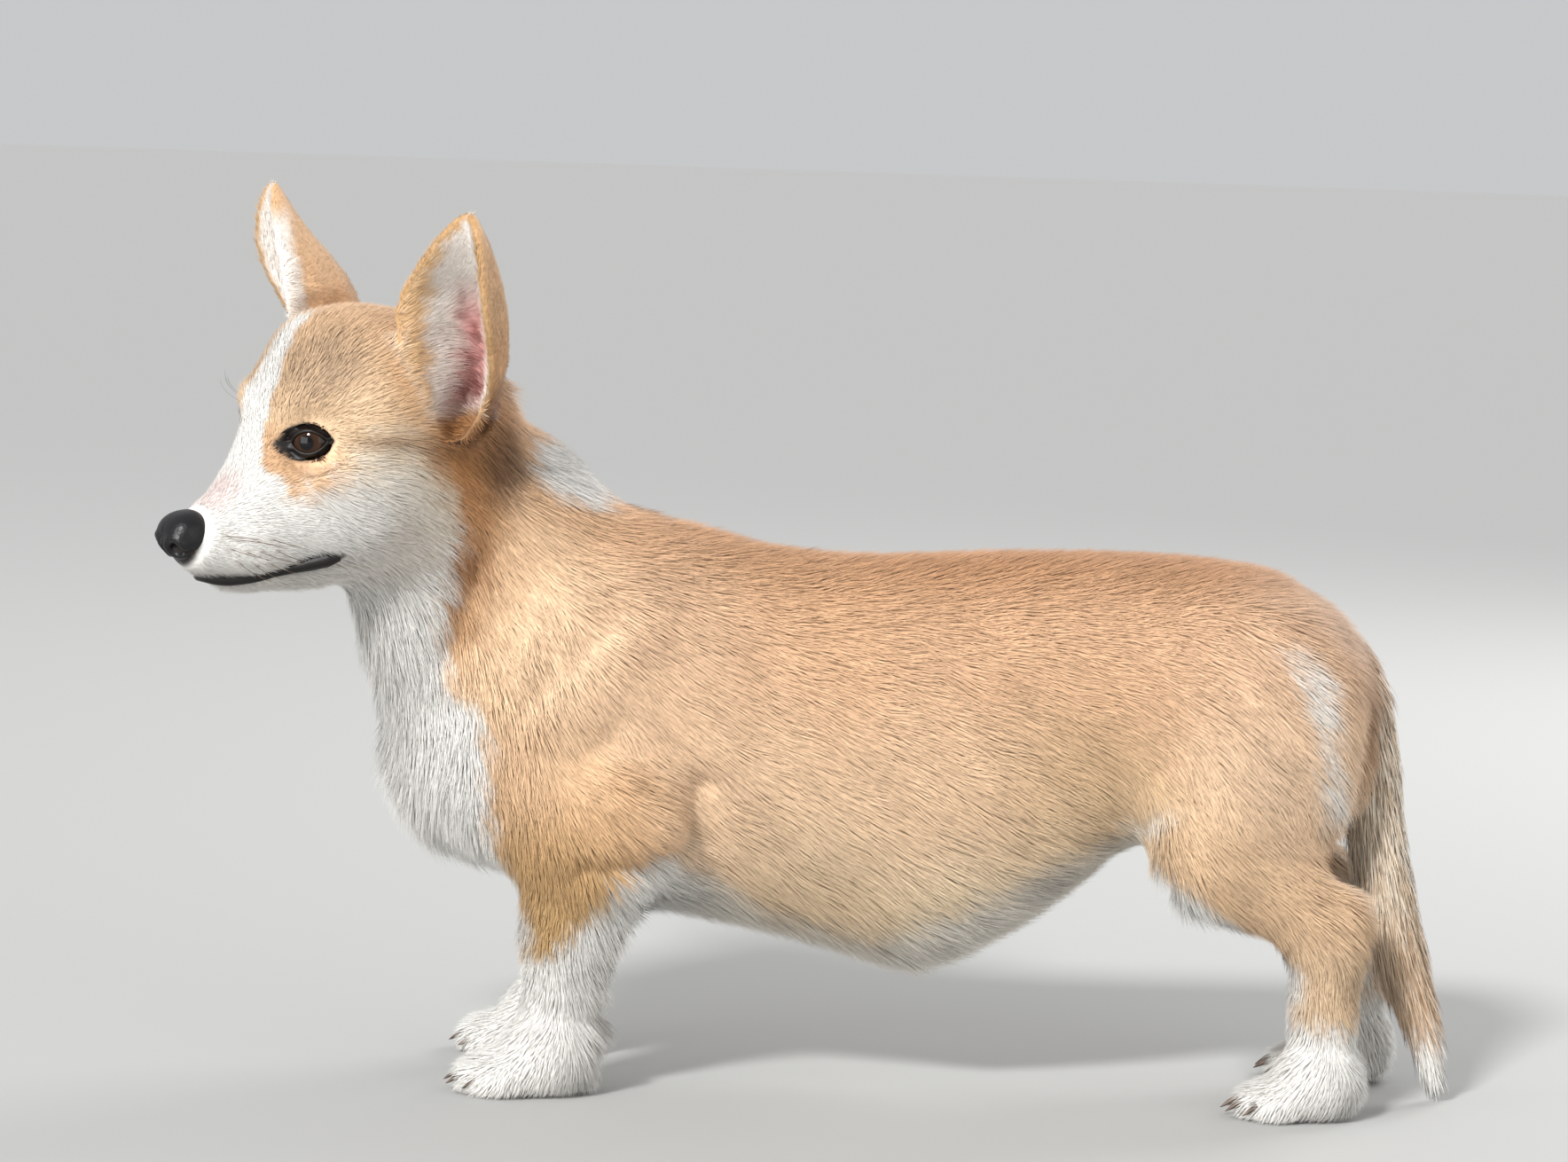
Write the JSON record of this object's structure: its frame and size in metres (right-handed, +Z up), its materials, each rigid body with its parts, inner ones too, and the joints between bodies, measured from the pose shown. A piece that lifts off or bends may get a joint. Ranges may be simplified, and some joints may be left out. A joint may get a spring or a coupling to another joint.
{
  "type": "pembroke welsh corgi figure",
  "caption": "Life-size standing young short-legged herding dog with upright ears, its head turned to its left and its full tail hanging down.",
  "frame": {"origin": "on the floor, at the middle of the plan outline, between the four feet", "axes": "+X is forward, along the back towards the forechest. +Y is the dog's left, the side its head turns to. +Z is up."},
  "size_m": [0.5357, 0.1796, 0.3693],
  "materials": {
    "coat": "short dense fawn coat",
    "coat_white": "short dense white coat",
    "leather": "moist black nose leather",
    "eye": "wet dark brown eye",
    "claw": "dark horn"
  },
  "bodies": {
    "root": {"head": "coat", "nose": "leather", "eye_left": "eye", "ear_left": "coat", "eye_right": "eye", "ear_right": "coat", "neck": "coat", "torso": "coat", "tail": "coat", "foreleg_left": "coat", "hindleg_left": "coat", "foreleg_right": "coat", "hindleg_right": "coat", "forepaw_left": "coat_white", "forepaw_left_claw_1": "claw", "forepaw_left_claw_2": "claw", "forepaw_left_claw_3": "claw", "forepaw_left_claw_4": "claw", "forepaw_right": "coat_white", "forepaw_right_claw_1": "claw", "forepaw_right_claw_2": "claw", "forepaw_right_claw_3": "claw", "forepaw_right_claw_4": "claw", "hindpaw_left": "coat_white", "hindpaw_left_claw_1": "claw", "hindpaw_left_claw_2": "claw", "hindpaw_left_claw_3": "claw", "hindpaw_left_claw_4": "claw", "hindpaw_right": "coat_white", "hindpaw_right_claw_1": "claw", "hindpaw_right_claw_2": "claw", "hindpaw_right_claw_3": "claw", "hindpaw_right_claw_4": "claw"}
  },
  "joints": []
}
